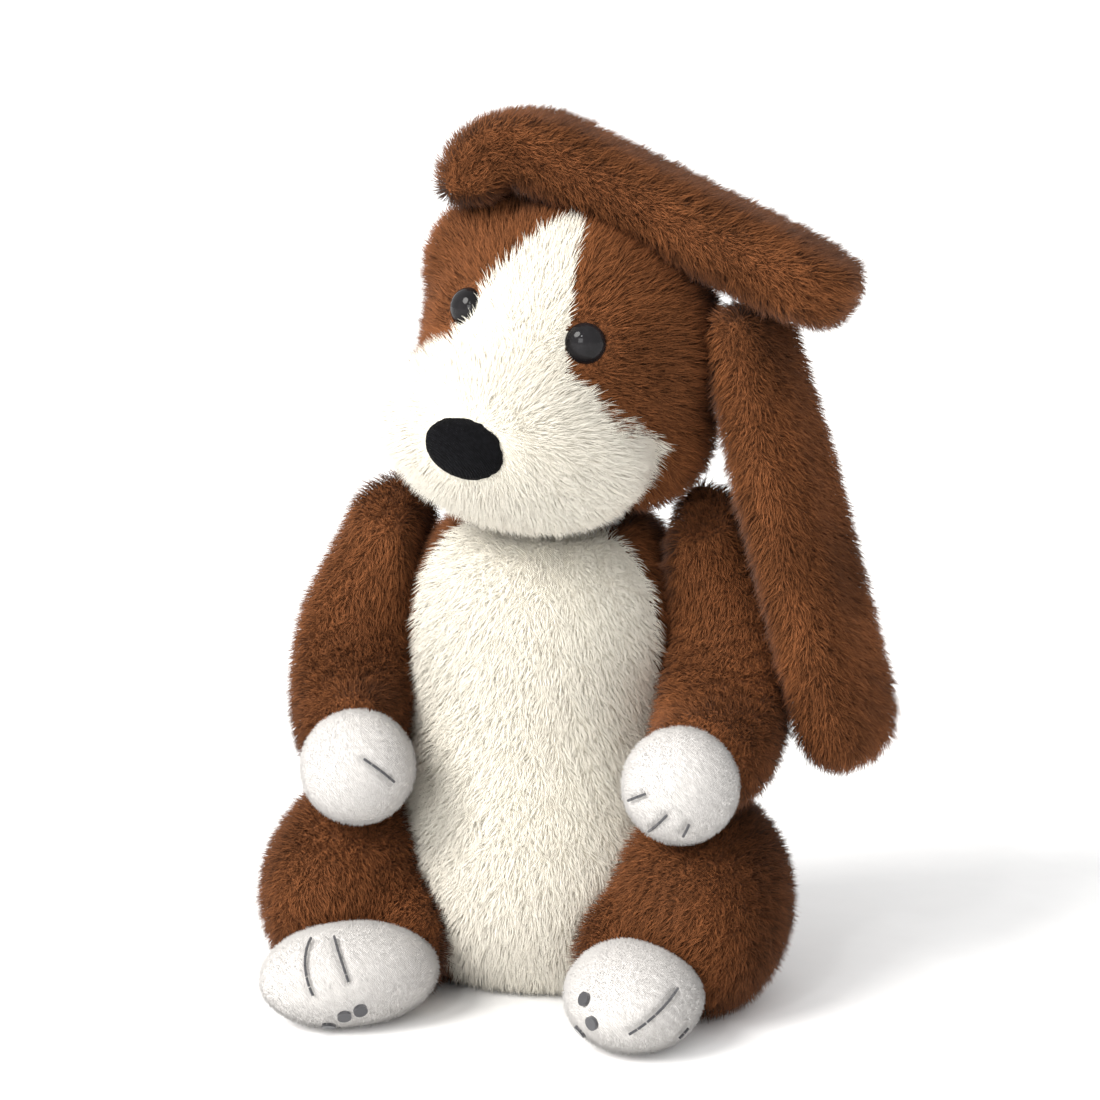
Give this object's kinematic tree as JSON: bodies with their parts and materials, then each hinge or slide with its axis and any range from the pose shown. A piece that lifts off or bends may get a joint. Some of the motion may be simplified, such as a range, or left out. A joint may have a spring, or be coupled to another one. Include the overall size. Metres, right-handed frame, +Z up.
{
  "type": "plush dog",
  "caption": "Seated soft toy dog in long brown pile with a pale face and belly, small paws, padded nose, dome eyes and long hinged ears, one flung over the head.",
  "frame": {"origin": "on the floor, at the middle of the flat seat", "axes": "+Z up, the dog faces -Y, its left side is +X"},
  "size_m": [0.2013, 0.2162, 0.2897],
  "materials": {
    "brown_plush": "long soft pile, brown with lighter tips",
    "cream_plush": "long soft pile, cream white",
    "white_plush": "short dense nap, white",
    "black_velour": "short velour nap, black",
    "eye_plastic": "polished black dome",
    "washer_plastic": "moulded, unpolished",
    "black_thread": "embroidery thread, satin",
    "brown_thread": "sewing thread",
    "fiberfill": "loose polyester fibre",
    "bag_cloth": "plain woven cotton",
    "pellets": "small moulded beads"
  },
  "bodies": {
    "torso": {"back_left_panel": "brown_plush", "back_right_panel": "brown_plush", "belly_panel": "cream_plush", "seat_panel": "brown_plush", "torso_stuffing": "fiberfill", "pellet_bag": "bag_cloth", "pellets": "pellets", "back_seam_stitches": "brown_thread"},
    "neck": {"neck_stuffing": "fiberfill", "neck_seam_thread": "brown_thread"},
    "head": {"head_left_panel": "brown_plush", "head_right_panel": "brown_plush", "face_panel": "cream_plush", "head_stuffing": "fiberfill", "nose_patch": "black_velour", "left_eye": "eye_plastic", "right_eye": "eye_plastic", "left_eye_washer": "washer_plastic", "right_eye_washer": "washer_plastic"},
    "tail": {"tail_sleeve": "brown_plush", "tail_stuffing": "fiberfill"},
    "left_ear": {"left_ear_front_panel": "brown_plush", "left_ear_back_panel": "brown_plush", "left_ear_wadding": "fiberfill"},
    "left_arm": {"left_arm_sleeve": "brown_plush", "left_arm_stuffing": "fiberfill", "left_paw_shell": "white_plush", "left_paw_stuffing": "fiberfill", "left_paw_stitches": "black_thread"},
    "left_leg": {"left_leg_sleeve": "brown_plush", "left_leg_stuffing": "fiberfill", "left_foot_upper": "white_plush", "left_foot_sole": "white_plush", "left_foot_stuffing": "fiberfill", "left_toe_pads": "black_thread", "left_foot_stitches": "black_thread"},
    "right_ear": {"right_ear_front_panel": "brown_plush", "right_ear_back_panel": "brown_plush", "right_ear_wadding": "fiberfill"},
    "right_arm": {"right_arm_sleeve": "brown_plush", "right_arm_stuffing": "fiberfill", "right_paw_shell": "white_plush", "right_paw_stuffing": "fiberfill", "right_paw_stitches": "black_thread"},
    "right_leg": {"right_leg_sleeve": "brown_plush", "right_leg_stuffing": "fiberfill", "right_foot_upper": "white_plush", "right_foot_sole": "white_plush", "right_foot_stuffing": "fiberfill", "right_toe_pads": "black_thread", "right_foot_stitches": "black_thread"}
  },
  "joints": [
    {"name": "head_turn", "type": "hinge", "parent": "torso", "child": "neck", "pos_m": [0.003, -0.003, 0.162], "axis": [0, 0, 1], "range_deg": [-12, 12], "stiffness_Nm_per_rad": 0.3},
    {"name": "head_nod", "type": "hinge", "parent": "neck", "child": "head", "pos_m": [0.003, -0.003, 0.162], "axis": [1, 0, 0], "range_deg": [-6, 6], "stiffness_Nm_per_rad": 2},
    {"name": "left_ear_swing", "type": "hinge", "parent": "head", "child": "left_ear", "pos_m": [0.0675, -0.008, 0.226], "axis": [-0.2419, -0.9703, 0], "range_deg": [0, 40]},
    {"name": "right_ear_lift", "type": "hinge", "parent": "head", "child": "right_ear", "pos_m": [-0.0295, -0.008, 0.265], "axis": [0, -1, 0], "range_deg": [0, 95]},
    {"name": "left_arm_swing", "type": "hinge", "parent": "torso", "child": "left_arm", "pos_m": [0.051, 0, 0.14], "axis": [-1, 0, 0], "range_deg": [0, 20], "stiffness_Nm_per_rad": 0.2},
    {"name": "right_arm_swing", "type": "hinge", "parent": "torso", "child": "right_arm", "pos_m": [-0.051, 0, 0.14], "axis": [-1, 0, 0], "range_deg": [0, 20], "stiffness_Nm_per_rad": 0.2},
    {"name": "left_leg_splay", "type": "hinge", "parent": "torso", "child": "left_leg", "pos_m": [0.056, 0.02, 0.034], "axis": [0, 0, 1], "range_deg": [0, 18], "stiffness_Nm_per_rad": 0.2},
    {"name": "right_leg_splay", "type": "hinge", "parent": "torso", "child": "right_leg", "pos_m": [-0.056, 0.02, 0.034], "axis": [0, 0, -1], "range_deg": [0, 18], "stiffness_Nm_per_rad": 0.2},
    {"name": "tail_wag", "type": "hinge", "parent": "torso", "child": "tail", "pos_m": [0, 0.06, 0.034], "axis": [0, 0, 1], "range_deg": [-25, 25], "stiffness_Nm_per_rad": 0.05}
  ]
}
